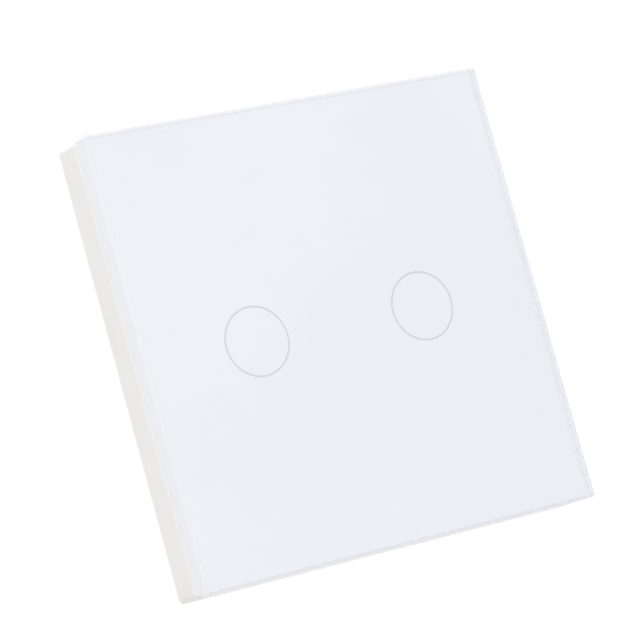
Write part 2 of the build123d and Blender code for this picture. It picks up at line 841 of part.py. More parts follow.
for side, sign in sides.items():
    x = sign * relay_x
    with BuildPart() as relay_case:
        with BuildSketch(relay_plane(x, 0)):
            Rectangle(relay_width, relay_length)
        extrude(amount=-relay_height)
        fillet(relay_case.faces().sort_by(Axis.Y)[-1].edges(), relay_edge)
        with BuildSketch(relay_plane(x, 0)):
            Rectangle(relay_width - 2 * relay_wall, relay_length - 2 * relay_wall)
        extrude(amount=-(relay_height - relay_wall), mode=Mode.SUBTRACT)
    keep(relay_case, f"relay_case_{side}")

    with BuildPart() as relay_base:
        with BuildSketch(relay_plane(x, 0)):
            base_inset = relay_wall + running_gap
            Rectangle(relay_width - 2 * base_inset, relay_length - 2 * base_inset)
            with Locations((0, fixed_leg_place)):
                Rectangle(
                    fixed_arm_width + 2 * seat_gap,
                    fixed_arm_thickness + 2 * seat_gap,
                    mode=Mode.SUBTRACT,
                )
        extrude(amount=-relay_base_height)
    keep(relay_base, f"relay_base_{side}")

    # Iron circuit: core with its pole face, foot and yoke
    with BuildPart() as relay_iron:
        with BuildSketch(relay_profile_plane(x)):
            with BuildLine():
                Polyline(
                    (yoke_outside, relay_base_height),
                    (yoke_foot_end, relay_base_height),
                    (yoke_foot_end, coil_low),
                    (yoke_outside + iron_thickness, coil_low),
                    (yoke_outside + iron_thickness, yoke_top),
                    (yoke_outside, yoke_top),
                    close=True,
                )
            make_face()
        extrude(amount=iron_width / 2, both=True)
        with BuildSketch(relay_plane(x, coil_low)):
            with Locations((0, core_place)):
                Circle(core_radius)
        extrude(amount=-(coil_high - coil_low))
        with BuildSketch(relay_plane(x, coil_high)):
            with Locations((0, core_place)):
                Circle(pole_radius)
        extrude(amount=-pole_thickness)
    keep(relay_iron, f"relay_iron_{side}")

    with BuildPart() as coil_bobbin:
        for height, plan_is_flange in (
            (coil_low, True),
            (coil_low + bobbin_flange, False),
            (coil_high - bobbin_flange, True),
        ):
            with BuildSketch(relay_plane(x, height)):
                with Locations((0, core_place)):
                    if plan_is_flange:
                        Rectangle(bobbin_size, bobbin_size)
                    else:
                        Circle(bobbin_tube_radius)
                    Circle(core_radius + running_gap, mode=Mode.SUBTRACT)
            tube_height = coil_high - coil_low - 2 * bobbin_flange
            extrude(amount=-(bobbin_flange if plan_is_flange else tube_height))
    keep(coil_bobbin, f"coil_bobbin_{side}")

    with BuildPart() as coil_winding:
        with BuildSketch(relay_plane(x, coil_low + bobbin_flange)):
            with Locations((0, core_place)):
                Circle(winding_radius)
                Circle(bobbin_tube_radius, mode=Mode.SUBTRACT)
        extrude(amount=-(coil_high - coil_low - 2 * bobbin_flange))
    keep(coil_winding, f"coil_winding_{side}")

    # Armature plate, drawn open on its hinge at the tip of the yoke
    with BuildPart() as relay_armature:
        with BuildSketch(armature_plane(x)):
            with Locations((0, armature_gap)):
                Rectangle(armature_length, armature_thickness, align=(Align.MIN, Align.MIN))
        extrude(amount=armature_width / 2, both=True)
    keep(relay_armature, f"relay_armature_{side}")

    # Contact blade on the armature, with the moving contact under its tip
    blade_base = armature_gap + armature_thickness
    with BuildPart() as contact_blade:
        with BuildSketch(armature_plane(x)):
            with Locations((blade_start, blade_base)):
                Rectangle(blade_end - blade_start, blade_thickness, align=(Align.MIN, Align.MIN))
        extrude(amount=blade_width / 2, both=True)
        with BuildSketch(armature_plane(x)):
            with Locations((contact_reach, blade_base)):
                Rectangle(2 * contact_radius, contact_height, align=(Align.CENTER, Align.MAX))
        extrude(amount=contact_radius, both=True)
    keep(contact_blade, f"contact_blade_{side}")

    # Fixed contact: a leg from the board that turns in under the moving contact
    arm_top = yoke_top + blade_base - 2 * contact_height - armature_gap
    with BuildPart() as fixed_contact:
        with BuildSketch(relay_profile_plane(x)):
            with BuildLine():
                leg_inside = fixed_leg_place - fixed_arm_thickness / 2
                leg_outer = fixed_leg_place + fixed_arm_thickness / 2
                Polyline(
                    (leg_inside, 0),
                    (leg_outer, 0),
                    (leg_outer, arm_top),
                    (fixed_arm_start, arm_top),
                    (fixed_arm_start, arm_top - fixed_arm_thickness),
                    (leg_inside, arm_top - fixed_arm_thickness),
                    close=True,
                )
            make_face()
        extrude(amount=fixed_arm_width / 2, both=True)
        with BuildSketch(relay_plane(x, arm_top)):
            with Locations((0, yoke_outside + contact_reach)):
                Circle(contact_radius)
        extrude(amount=-contact_height)
    keep(fixed_contact, f"fixed_contact_{side}")

# Switching transformer: a ferrite core round the middle of its winding
core_width = 10.2
core_height = 10.6
core_depth = 4.8
core_yoke = 1.6
core_side = 1.5
core_middle = 2.4
coil_width = 6.9
coil_corner = 1.2
with BuildPart() as transformer_core:
    with BuildSketch(Plane.XY.offset(transformer_z)):
        with Locations((0, power_board_depth)):
            Rectangle(core_width, core_height, align=(Align.CENTER, Align.MIN))
        with Locations((0, power_board_depth + core_yoke)):
            Rectangle(
                core_width - 2 * core_side,
                core_height - 2 * core_yoke,
                align=(Align.CENTER, Align.MIN),
                mode=Mode.SUBTRACT,
            )
        with Locations((0, power_board_depth)):
            Rectangle(core_middle, core_height, align=(Align.CENTER, Align.MIN))
    extrude(amount=core_depth / 2, both=True)
keep(transformer_core, "transformer_core")
with BuildPart() as transformer_coil:
    with BuildSketch(at_depth(power_board_depth + core_yoke + seat_gap)):
        with Locations((0, transformer_z)):
            RectangleRounded(coil_width, coil_depth, coil_corner)
            Rectangle(core_middle + 2 * seat_gap, core_depth + 2 * seat_gap, mode=Mode.SUBTRACT)
    extrude(amount=-(core_height - 2 * core_yoke - 2 * seat_gap))
keep(transformer_coil, "transformer_coil")

# Smoothing capacitor, standing on the board
can_radius = 3.15
can_height = 11.0
can_gap = 2.75
can_rise = 6.6
can_edge = 0.6
can_x = relay_outside + can_gap + can_radius
can_z = relay_z + can_rise
with BuildPart() as smoothing_capacitor:
    with BuildSketch(at_depth(power_board_depth)):
        with Locations((can_x, can_z)):
            Circle(can_radius)
    extrude(amount=-can_height)
    fillet(smoothing_capacitor.edges().filter_by(GeomType.CIRCLE), can_edge)
keep(smoothing_capacitor, "smoothing_capacitor")

# Film capacitor that quiets the mains
film_width = 5.0
film_length = 13.0
film_height = 11.0
film_gap = 2.8
film_rise = 1.0
film_edge = 0.5
film_x = -(relay_outside + film_gap + film_width / 2)
film_z = relay_z + film_rise
with BuildPart() as suppression_capacitor:
    with BuildSketch(at_depth(power_board_depth)):
        with Locations((film_x, film_z)):
            Rectangle(film_width, film_length)
    extrude(amount=-film_height)
    fillet(suppression_capacitor.faces().sort_by(Axis.Y)[-1].edges(), film_edge)
keep(suppression_capacitor, "suppression_capacitor")

# Varistor: a coated disc on two leads
disc_radius = 3.4
disc_thickness = 3.0
disc_stand = 1.2
disc_gap = 3.2
disc_drop = 4.6
lead_radius = 0.35
lead_spacing = 4.0
disc_x = relay_outside + disc_gap + disc_thickness / 2
disc_z = relay_z - disc_drop
with BuildPart() as varistor:
    with BuildSketch(Plane.YZ.offset(disc_x)):
        with Locations((power_board_depth + disc_stand + disc_radius, disc_z)):
            Circle(disc_radius)
    extrude(amount=disc_thickness / 2, both=True)
    with BuildSketch(at_depth(power_board_depth)):
        with Locations((disc_x, disc_z)):
            with GridLocations(0, lead_spacing, 1, 2):
                Circle(lead_radius)
    extrude(amount=-(disc_stand + disc_radius))
keep(varistor, "varistor")

# Fuse and bridge rectifier on either side of the transformer
fuse_width = 4.0
fuse_length = 8.4
fuse_height = 7.6
fuse_edge = 0.5
bridge_width = 4.4
bridge_length = 6.4
bridge_height = 2.6
fuse_gap = 3.3
bridge_gap = 3.1
fuse_x = -(core_width / 2 + fuse_gap + fuse_width / 2)
bridge_x = core_width / 2 + bridge_gap + bridge_width / 2
with BuildPart() as fuse:
    with BuildSketch(at_depth(power_board_depth)):
        with Locations((fuse_x, transformer_z)):
            Rectangle(fuse_width, fuse_length)
    extrude(amount=-fuse_height)
    fillet(fuse.faces().sort_by(Axis.Y)[-1].edges(), fuse_edge)
keep(fuse, "fuse")
with BuildPart() as bridge_rectifier:
    with BuildSketch(at_depth(power_board_depth)):
        with Locations((bridge_x, transformer_z)):
            Rectangle(bridge_width, bridge_length)
    extrude(amount=-bridge_height)
    chamfer(bridge_rectifier.faces().sort_by(Axis.Y)[-1].edges(), chip_bevel)
keep(bridge_rectifier, "bridge_rectifier")
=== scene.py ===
import math

import bmesh
import bpy
from mathutils import Matrix, Vector


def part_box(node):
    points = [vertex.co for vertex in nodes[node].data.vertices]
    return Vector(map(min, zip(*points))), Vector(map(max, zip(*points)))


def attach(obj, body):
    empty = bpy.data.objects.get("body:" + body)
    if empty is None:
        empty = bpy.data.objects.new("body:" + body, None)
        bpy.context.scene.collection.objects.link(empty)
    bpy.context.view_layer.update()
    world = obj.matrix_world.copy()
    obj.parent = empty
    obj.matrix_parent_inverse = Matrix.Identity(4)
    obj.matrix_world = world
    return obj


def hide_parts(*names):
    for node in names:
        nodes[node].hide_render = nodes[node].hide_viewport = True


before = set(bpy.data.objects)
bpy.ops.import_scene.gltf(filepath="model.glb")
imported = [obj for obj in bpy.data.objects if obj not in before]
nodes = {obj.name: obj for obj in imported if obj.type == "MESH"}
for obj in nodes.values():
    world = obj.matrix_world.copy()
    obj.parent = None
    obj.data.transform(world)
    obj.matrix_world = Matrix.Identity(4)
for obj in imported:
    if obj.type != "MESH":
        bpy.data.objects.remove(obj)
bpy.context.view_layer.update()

mm = 0.001


# Materials: small tools
mix_result = 2  # place of a Mix node's colour result among its outputs
noise_span = (0.3, 0.7)  # nearly all of a noise pattern lies between these values
whole_span = (0.0, 1.0)
wave_band = 0.314  # width of one band of a wave pattern at a scale of 1
finishes = {}


def linear(hex_colour):
    """An sRGB hex colour as the linear RGBA that a shader socket takes."""
    channels = [int(hex_colour[i : i + 2], 16) / 255 for i in (1, 3, 5)]
    straight = [c / 12.92 if c <= 0.04045 else ((c + 0.055) / 1.055) ** 2.4 for c in channels]
    return (*straight, 1.0)


def grey(level):
    """A neutral colour of a given linear level."""
    return (level, level, level, 1.0)


def add(tree, kind, inputs, **settings):
    """Adds a node, sets its own settings, and gives each input, by name or place, a value, or a link from
    a socket or from another node's first output."""
    node = tree.nodes.new(kind)
    for name, value in settings.items():
        setattr(node, name, value)
    for name, value in inputs.items():
        if isinstance(value, bpy.types.Node):
            value = value.outputs[0]
        if isinstance(value, bpy.types.NodeSocket):
            tree.links.new(value, node.inputs[name])
        else:
            node.inputs[name].default_value = value
    return node


def lumps(place, size_mm, detail):
    """Inputs for a noise pattern whose lumps are about size_mm across."""
    return {"Vector": place, "Scale": 1 / (size_mm * mm), "Detail": detail}


def bands(place, width_mm):
    """Inputs for a wave pattern whose bands are width_mm apart."""
    return {"Vector": place, "Scale": wave_band / (width_mm * mm)}


def ranged(value, low, high, span=noise_span):
    """Inputs that map a pattern's span to the range from low to high."""
    return {"Value": value, "From Min": span[0], "From Max": span[1], "To Min": low, "To Max": high}


def toned(pattern, first, second):
    """Inputs that take a colour from the first to the second by a pattern."""
    return {0: pattern, 6: first, 7: second}


def bare_material(name):
    """A material with an empty node tree, and the tree."""
    material = bpy.data.materials.new(name)
    material.use_nodes = True
    material.node_tree.nodes.clear()
    return material, material.node_tree


def new_finish(name):
    """Starts a finish and keeps it by its name. It gives the tree, and the object coordinates, in metres,
    that the patterns lie on."""
    finishes[name], tree = bare_material(name)
    return tree, add(tree, "ShaderNodeTexCoord", {}).outputs["Object"]


def clouds(tree, place, size_mm):
    """Soft clouds about size_mm across, from 0 to 1."""
    pattern = add(tree, "ShaderNodeTexNoise", lumps(place, size_mm, 2.0))
    return add(tree, "ShaderNodeMapRange", ranged(pattern, 0.0, 1.0))


def complete(
    tree, tint, colours, dulling, roughness, relief=None, depth_mm=0.0, sockets=None, span=noise_span
):
    """Completes a finish. The tint takes it from one colour to the other, the dulling from its lowest
    roughness to its highest, and the relief, where there is one, stands out by depth_mm."""
    colour = add(tree, "ShaderNodeMix", toned(tint, *colours), data_type="RGBA")
    inputs = {
        "Base Color": colour.outputs[mix_result],
        "Roughness": add(tree, "ShaderNodeMapRange", ranged(dulling, *roughness, span)),
    }
    if relief is not None:
        raised = {"Height": relief, "Distance": depth_mm * mm, "Strength": 1.0}
        inputs["Normal"] = add(tree, "ShaderNodeBump", raised)
    shader = add(tree, "ShaderNodeBsdfPrincipled", {**inputs, **(sockets or {})})
    add(tree, "ShaderNodeOutputMaterial", {"Surface": shader})


# Materials: how each surface is made
glass_ior = 1.52
grain_sheen = 0.06  # how far a grain lifts and lowers the roughness
line_sheen = (-0.07, 0.09)  # the same for the lines on metal
metal_cloud_mm = 6.0


def grained(name, colour, second, roughness, grain_mm, depth_mm, cloud_mm=14.0, sockets=None):
    """A moulded, cast or coated surface: two close colours in clouds, and a grain that dulls the gloss
    unevenly."""
    tree, place = new_finish(name)
    grain = add(tree, "ShaderNodeTexNoise", lumps(place, grain_mm, 3.0))
    complete(
        tree,
        tint=clouds(tree, place, cloud_mm),
        colours=(linear(colour), linear(second)),
        dulling=grain,
        roughness=(roughness - grain_sheen, roughness + grain_sheen),
        relief=grain,
        depth_mm=depth_mm,
        sockets=sockets,
    )


def brushed_metal(name, colour, second, roughness, line_mm, depth_mm, stretch=(1.0, 1.0, 1.0)):
    """Rolled, drawn or plated metal: a lustre with fine lines or grain, and slight clouding."""
    tree, place = new_finish(name)
    stretched = add(tree, "ShaderNodeMapping", {"Vector": place, "Scale": stretch})
    lines = add(tree, "ShaderNodeTexNoise", lumps(stretched, line_mm, 4.0))
    complete(
        tree,
        tint=clouds(tree, place, metal_cloud_mm),
        colours=(linear(colour), linear(second)),
        dulling=lines,
        roughness=(roughness + line_sheen[0], roughness + line_sheen[1]),
        relief=lines,
        depth_mm=depth_mm,
        sockets={"Metallic": 1.0},
    )


def clear_glass(name, colour, pattern_mm, smoothest, roughest, clearness=1.0):
    """Clear low-iron glass, polished or ground: it bends what is behind it and mirrors inside its edges.
    Lamps and bounced light pass straight through, so that the print behind it is lit evenly."""
    tree, place = new_finish(name)
    smears = add(tree, "ShaderNodeTexNoise", lumps(place, pattern_mm, 2.0))
    glass_inputs = {
        "Base Color": linear(colour),
        "Transmission Weight": clearness,
        "IOR": glass_ior,
        "Roughness": add(tree, "ShaderNodeMapRange", ranged(smears, smoothest, roughest)),
    }
    glass = add(tree, "ShaderNodeBsdfPrincipled", glass_inputs)
    clear = add(tree, "ShaderNodeBsdfTransparent", {"Color": linear("#FBFCFD")})
    rays = add(tree, "ShaderNodeLightPath", {}).outputs
    light_rays = {0: rays["Is Shadow Ray"], 1: rays["Is Diffuse Ray"]}
    straight = add(tree, "ShaderNodeMath", light_rays, operation="MAXIMUM")
    mix = add(tree, "ShaderNodeMixShader", {0: straight, 1: glass, 2: clear})
    add(tree, "ShaderNodeOutputMaterial", {"Surface": mix})


def galvanised_sheet():
    """Hot-dip galvanised steel: crystals of zinc a few millimetres across, each with its own grey and
    sheen."""
    tree, place = new_finish("galvanised_sheet")
    wander_mm, crystal_mm, scratch_mm = 3.0, 2.6, 0.25
    shift = 1.4 * mm
    wander = add(tree, "ShaderNodeTexNoise", lumps(place, wander_mm, 2.0))
    bending = {0: wander.outputs["Color"], 1: (shift, shift, shift), 2: place}
    bent = add(tree, "ShaderNodeVectorMath", bending, operation="MULTIPLY_ADD")
    crystals = add(tree, "ShaderNodeTexVoronoi", {"Vector": bent, "Scale": 1 / (crystal_mm * mm)})
    shade = add(tree, "ShaderNodeSeparateColor", {0: crystals.outputs["Color"]})
    complete(
        tree,
        tint=shade,
        colours=(linear("#B9BEC2"), linear("#D3D6D8")),
        dulling=shade,
        roughness=(0.3, 0.48),
        relief=add(tree, "ShaderNodeTexNoise", lumps(place, scratch_mm, 4.0)),
        depth_mm=0.004,
        sockets={"Metallic": 1.0},
        span=whole_span,
    )


def circuit_board():
    """Glass-epoxy laminate under green solder mask: glossy, with the weave of the glass cloth just
    showing. The cloth's threads lie 0.5 mm apart, and the mask settles a little darker between them."""
    tree, place = new_finish("solder_mask_board")
    thread_mm, cloud_mm, pool_mm = 0.5, 7.0, 1.2
    warp = add(tree, "ShaderNodeTexWave", bands(place, thread_mm), bands_direction="X").outputs["Fac"]
    weft = add(tree, "ShaderNodeTexWave", bands(place, thread_mm), bands_direction="Z").outputs["Fac"]
    weave = add(tree, "ShaderNodeMath", {0: warp, 1: weft}, operation="MULTIPLY")
    mask = toned(clouds(tree, place, cloud_mm), linear("#0F5A2F"), linear("#126335"))
    between_threads = add(tree, "ShaderNodeMix", mask, data_type="RGBA").outputs[mix_result]
    complete(
        tree,
        tint=weave,
        colours=(between_threads, linear("#176B3B")),
        dulling=add(tree, "ShaderNodeTexNoise", lumps(place, pool_mm, 2.0)),
        roughness=(0.24, 0.36),
        relief=weave,
        depth_mm=0.006,
        sockets={"Coat Weight": 0.3},
    )


def enamelled_winding():
    """Enamelled copper wire wound in close turns of 0.12 mm, drawn at 0.3 mm so that the turns show."""
    tree, place = new_finish("enamelled_winding")
    turn_mm, smear_mm = 0.3, 0.8
    turns = add(tree, "ShaderNodeTexWave", bands(place, turn_mm), bands_direction="Y").outputs["Fac"]
    complete(
        tree,
        tint=turns,
        colours=(linear("#7A2F12"), linear("#C4622F")),
        dulling=add(tree, "ShaderNodeTexNoise", lumps(place, smear_mm, 2.0)),
        roughness=(0.22, 0.34),
        relief=turns,
        depth_mm=0.08,
        sockets={"Metallic": 0.75, "Coat Weight": 0.6},
    )


def fired_enamel():
    """Ceramic enamel screened on the back of the glass and fired: opaque, cool white and level, but greyer
    in the last half millimetre at the plate's edge. That grey is painted shade, standing for the dark line
    along the seam and the edge."""
    tree, place = new_finish("white_enamel")
    # The first width is how far in from the edge of the print the painted shade reaches
    painted_shade_mm, cloud_mm, grain_mm = 0.45, 30.0, 0.35
    print_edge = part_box("back_print")[1][0]
    parts = add(tree, "ShaderNodeSeparateXYZ", {0: place}).outputs
    across = add(tree, "ShaderNodeMath", {0: parts["X"]}, operation="ABSOLUTE")
    up = add(tree, "ShaderNodeMath", {0: parts["Z"]}, operation="ABSOLUTE")
    outwards = add(tree, "ShaderNodeMath", {0: across, 1: up}, operation="MAXIMUM")
    edge = ranged(outwards, 0.0, 1.0, (print_edge - painted_shade_mm * mm, print_edge))
    enamel = toned(clouds(tree, place, cloud_mm), linear("#F3F4F7"), linear("#F0F1F5"))
    unshaded_enamel = add(tree, "ShaderNodeMix", enamel, data_type="RGBA").outputs[mix_result]
    # The second colour, #E9EAEE, is painted shade: the enamel greys towards the edge of the print
    complete(
        tree,
        tint=add(tree, "ShaderNodeMapRange", edge),
        colours=(unshaded_enamel, linear("#E9EAEE")),
        dulling=add(tree, "ShaderNodeTexNoise", lumps(place, grain_mm, 3.0)),
        roughness=(0.5, 0.6),
    )


# Materials: the finishes. In a grained finish or a brushed metal, the two colours are followed by the
# roughness, and by the size and depth of the grain or the lines in millimetres.

# Float glass: fire-polished faces, with the faintest smears of handling
clear_glass("float_glass", "#FAFCFD", pattern_mm=22.0, smoothest=0.0, roughest=0.012)
# The same glass where the wheel has ground it: satin, so that the edge shows as an even pale strip
clear_glass("ground_glass_edge", "#F1F2F6", pattern_mm=3.0, smoothest=0.18, roughest=0.24, clearness=0.2)
# The narrow arris at the front, ground and then polished: clearer than the rim, so it doesn't stand out
clear_glass("polished_arris", "#EFF0F4", pattern_mm=3.0, smoothest=0.14, roughest=0.2, clearness=0.42)
# The ground arris at the back, painted grey as shade: a fine grey line around the glass that stands for the
# shaded seam
grained("arris_painted_shade", "#E4E6E9", "#DEE0E4", 0.5, 0.3, 0.002)
fired_enamel()
# Screen ink in the thin rings: smoky grey and matt
grained("ring_ink", "#D9DADF", "#D5D6DB", 0.6, 0.3, 0.002)
# Acrylic foam tape: soft, dull and slightly open-celled
grained("foam_tape", "#E4E3DF", "#DAD9D4", 0.85, 0.25, 0.05)
# ABS moulded in a spark-eroded tool: warm white with a fine satin, a soft gloss, faintly uneven
grained("warm_white_abs", "#F1F0EE", "#EEEDEB", 0.38, 0.14, 0.006, sockets={"IOR": 1.53})
# Moulded polycarbonate of the cover: a little cooler and duller than the frame
grained("cover_polycarbonate", "#E9EAEA", "#E5E6E5", 0.5, 0.16, 0.010, sockets={"IOR": 1.58})
# Self-extinguishing polycarbonate of the housing: light grey with a coarse spark-eroded texture
grained("housing_polycarbonate", "#D9DADA", "#D2D3D3", 0.58, 0.22, 0.022, sockets={"IOR": 1.58})
# Glass-filled polyamide of the terminal block: near black, with the rough grain that the fibres leave
grained("terminal_polyamide", "#26272A", "#303134", 0.52, 0.18, 0.02, cloud_mm=4.0)
# Moulded polyamide of headers, bobbins and relay bases: black, with a dull satin
grained("black_polyamide", "#1A1A1C", "#212123", 0.45, 0.15, 0.01, cloud_mm=4.0)
# Moulded polyester of the relay cases: deep blue and glossy
grained("relay_polyester", "#1B4E9B", "#18488F", 0.28, 0.2, 0.006, sockets={"IOR": 1.57})
circuit_board()
# Copper under the solder mask: the same green, lighter where the metal lies behind it
grained("masked_copper", "#2A8A4F", "#258047", 0.3, 0.3, 0.004, cloud_mm=4.0)
# Soldered tin: bright grey with the dull bloom of cooling
brushed_metal("solder", "#C4C6C8", "#AEB1B4", 0.34, 0.3, 0.01)
# Glaze over a thick-film resistor: black and shiny
grained("resistor_glaze", "#17181A", "#1E1F22", 0.25, 0.1, 0.004, cloud_mm=1.0)
# Sintered body of a ceramic capacitor: tan, with a dull shine
grained("capacitor_ceramic", "#A5825A", "#9A7850", 0.45, 0.08, 0.004, cloud_mm=1.0)
# Moulded epoxy of the chip, the rectifier and the fuse: charcoal and matt
grained("chip_epoxy", "#1E1F21", "#26272A", 0.5, 0.08, 0.008, cloud_mm=3.0)
# Cast silicone of the lamps with its phosphor: milky yellow and glossy
grained("lamp_silicone", "#F2E9B4", "#EFE29A", 0.25, 0.2, 0.004, cloud_mm=1.0)
# Moulded acrylic of the light guides: frosted, letting about half of the light through
grained(
    "frosted_acrylic",
    "#F3F7F8",
    "#ECF2F4",
    0.32,
    0.2,
    0.006,
    sockets={"Transmission Weight": 0.55, "IOR": 1.49},
)
# Nickel-plated spring wire: warm grey and bright
brushed_metal("spring_nickel", "#D2CCBF", "#C2BCB0", 0.24, 0.12, 0.004)
# Thin gold plate on pads and pins: yellow and smooth
brushed_metal("gold_plate", "#E2BE6E", "#D9B25C", 0.2, 0.1, 0.002)
galvanised_sheet()
# Bright zinc plate of the screws: bluish silver
brushed_metal("zinc_plate", "#C9CCD0", "#BDC1C8", 0.26, 0.15, 0.004)
# Stamped brass, left bare: dull yellow, with drawing lines along its depth
brushed_metal("bare_brass", "#C9A257", "#B8914A", 0.3, 0.12, 0.006, stretch=(1.0, 0.2, 1.0))
# Copper with a dip of tin: pale grey with a hint of yellow
brushed_metal("tinned_copper", "#C8C7C2", "#B9B7B1", 0.3, 0.1, 0.004)
# Annealed relay iron: dull warm grey
brushed_metal("soft_iron", "#A5A29C", "#96938E", 0.38, 0.12, 0.006)
enamelled_winding()
# Ferrite, sintered and ground: dark grey with a slight gloss
grained("ferrite", "#35363A", "#2C2D30", 0.36, 0.12, 0.012, cloud_mm=3.0)
# Polyester winding tape: clear yellow and glossy
grained("winding_tape", "#D9A92C", "#CFA025", 0.24, 0.6, 0.02, cloud_mm=5.0)
# Shrunk sleeve of the smoothing capacitor: blue-black and shiny
grained("capacitor_sleeve", "#23252E", "#1D1F27", 0.22, 0.8, 0.01, cloud_mm=6.0)
# Moulded box of the film capacitor: mustard yellow with a satin gloss
grained("film_box", "#D7B24A", "#D0AA41", 0.35, 0.15, 0.01, cloud_mm=5.0)
# Dipped epoxy of the varistor: blue, glossy and slightly wavy
grained("blue_epoxy", "#1F5FA8", "#1B569B", 0.3, 0.5, 0.03, cloud_mm=3.0)

# Which finish each node has: a name ending in _ stands for all the nodes that start so
node_finishes = {
    "glass_plate": "float_glass",
    "back_print": "white_enamel",
    "ring_marks": "ring_ink",
    "bonding_tape": "foam_tape",
    "panel_frame": "warm_white_abs",
    "front_cover": "cover_polycarbonate",
    "touch_board": "solder_mask_board",
    "power_board": "solder_mask_board",
    "touch_chip": "chip_epoxy",
    "bridge_rectifier": "chip_epoxy",
    "indicator_lamp_": "lamp_silicone",
    "light_guide_": "frosted_acrylic",
    "touch_spring_": "spring_nickel",
    "header_base": "black_polyamide",
    "header_socket": "black_polyamide",
    "header_pins": "gold_plate",
    "mounting_strap": "galvanised_sheet",
    "strap_screws": "zinc_plate",
    "rear_housing": "housing_polycarbonate",
    "terminal_body": "terminal_polyamide",
    "terminal_screw_": "zinc_plate",
    "clamp_cage_": "bare_brass",
    "contact_bar_": "tinned_copper",
    "relay_case_": "relay_polyester",
    "relay_base_": "black_polyamide",
    "relay_iron_": "soft_iron",
    "relay_armature_": "soft_iron",
    "coil_bobbin_": "black_polyamide",
    "coil_winding_": "enamelled_winding",
    "contact_blade_": "bare_brass",
    "fixed_contact_": "bare_brass",
    "transformer_core": "ferrite",
    "transformer_coil": "winding_tape",
    "smoothing_capacitor": "capacitor_sleeve",
    "suppression_capacitor": "film_box",
    "varistor": "blue_epoxy",
    "fuse": "chip_epoxy",
}


def finish_of(node):
    """The finish that a node's name, or the start of its name, stands for."""
    for name, finish in node_finishes.items():
        if node == name or (name.endswith("_") and node.startswith(name)):
            return finishes[finish]
    raise ValueError(f"no finish for {node}")


for node, obj in nodes.items():
    obj.data.materials.clear()
    obj.data.materials.append(finish_of(node))


# Pieces: tools. All sizes and places are in millimetres.
merge_mm = 0.0005  # new corners closer than this are one
cad_merge_mm = 0.001  # the same for a copy of a node


def place_piece(name, mesh, finish, body):
    """Makes an object from a bmesh, with its finish and the body that it rides on."""
    data = bpy.data.meshes.new(name)
    mesh.to_mesh(data)
    mesh.free()
    obj = bpy.data.objects.new(name, data)
    bpy.context.scene.collection.objects.link(obj)
    data.materials.append(finishes[finish])
    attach(obj, body)
    return obj


def merged_copy(node):
    """A node's mesh as a bmesh, with its loose triangles joined."""
    mesh = bmesh.new()
    mesh.from_mesh(nodes[node].data)
    bmesh.ops.remove_doubles(mesh, verts=mesh.verts, dist=cad_merge_mm * mm)
    return mesh


def closed_up(mesh):
    """Merges what lies on the same place and turns every face outwards."""
    bmesh.ops.remove_doubles(mesh, verts=mesh.verts, dist=merge_mm * mm)
    bmesh.ops.recalc_face_normals(mesh, faces=mesh.faces)
    return mesh


def draw_out(mesh, faces, way):
    """Draws flat faces out into a solid."""
    drawn = bmesh.ops.extrude_face_region(mesh, geom=faces, use_keep_orig=True)["geom"]
    moved = [item for item in drawn if isinstance(item, bmesh.types.BMVert)]
    bmesh.ops.translate(mesh, verts=moved, vec=Vector(way) * mm)


def box_between(mesh, low, high, bevel):
    """A block from its lowest to its highest corner, with its edges broken."""
    low, high = Vector(low) * mm, Vector(high) * mm
    made = bmesh.ops.create_cube(mesh, size=1.0)["verts"]
    bmesh.ops.scale(mesh, verts=made, vec=high - low)
    bmesh.ops.translate(mesh, verts=made, vec=(low + high) / 2)
    edges = list({edge for vert in made for edge in vert.link_edges})
    rounding = {"affect": "EDGES", "segments": 2, "profile": 0.5, "material": -1}
    bmesh.ops.bevel(mesh, geom=edges, offset=bevel * mm, **rounding)


def cut_profile(mesh, outline, start, width):
    """A solid from an outline of (y, z) points that is drawn out along x."""
    corners = [mesh.verts.new(Vector((start, y, z)) * mm) for y, z in outline]
    draw_out(mesh, [mesh.faces.new(corners)], (width, 0, 0))


def turned(mesh, profile, x, z, steps):
    """A piece turned round a line along y through (x, z), from a profile of (radius, y) points."""
    points = [mesh.verts.new(Vector((x + radius, y, z)) * mm) for radius, y in profile]
    edges = [mesh.edges.new(pair) for pair in zip(points, points[1:])]
    turn = {"cent": Vector((x, 0, z)) * mm, "axis": (0, 1, 0), "angle": 2 * math.pi, "steps": steps}
    bmesh.ops.spin(mesh, geom=points + edges, use_merge=True, **turn)


def flat_ring(mesh, x, z, inside, outside, low, high, steps):
    """A flat ring round (x, z), between two radii and two levels."""
    profile = [(inside, low), (inside, high), (outside, high), (outside, low), (inside, low)]
    turned(mesh, profile, x, z, steps)


def ribbon(mesh, way, width, low, high):
    """A flat track along (x, z) points with mitred corners, from one level to the other."""
    points = [Vector(point) for point in way]
    rails = []
    for i, point in enumerate(points):
        before = (point - points[i - 1]).normalized() if i else (points[1] - point).normalized()
        after = (points[i + 1] - point).normalized() if i + 1 < len(points) else before
        across = Vector((-(before.y + after.y), before.x + after.x)).normalized()
        reach = width / 2 / across.dot(Vector((-before.y, before.x)))
        sides = (point + across * reach, point - across * reach)
        rails.append([mesh.verts.new(Vector((side.x, low, side.y)) * mm) for side in sides])
    faces = [mesh.faces.new((a[0], b[0], b[1], a[1])) for a, b in zip(rails, rails[1:])]
    draw_out(mesh, faces, (0, high - low, 0))


def copper_tracks(name, ways, board_front, thickness):
    """The copper tracks on a board's front, under its solder mask, from pairs of a way and a width."""
    tracks = bmesh.new()
    for way, width in ways:
        ribbon(tracks, way, width, board_front, board_front - thickness)
    place_piece(name, closed_up(tracks), "masked_copper", "module")


# Half profile of a solder joint, as (radius, height): a cone with hollow flanks
solder_cone = [(0.0, 0.62), (0.3, 0.6), (0.36, 0.38), (0.5, 0.17), (0.85, 0.04), (0.85, 0.0), (0.0, 0.0)]


